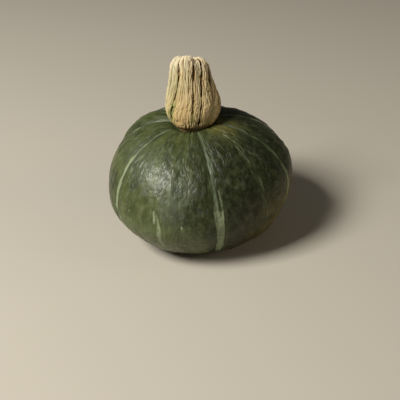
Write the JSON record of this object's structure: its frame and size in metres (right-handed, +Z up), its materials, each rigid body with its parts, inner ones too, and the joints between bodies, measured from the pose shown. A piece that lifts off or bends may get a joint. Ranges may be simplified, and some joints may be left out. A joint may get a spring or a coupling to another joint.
{
  "type": "kabocha squash",
  "caption": "Flattened, softly lobed winter squash with a dark green striped rind and a thick, fissured corky stem, resting on its blossom end.",
  "frame": {"origin": "on the ground, under the middle of the whole squash's box", "axes": "+Z up from the blossom end towards the stem, -Y to the side that shows the broad pale stripe, -X to the side that the top leans to"},
  "size_m": [0.1478, 0.1504, 0.1512],
  "materials": {
    "rind": "satin",
    "cork_stem": "matte"
  },
  "bodies": {
    "root": {"fruit": "rind", "stem": "cork_stem"}
  },
  "joints": []
}
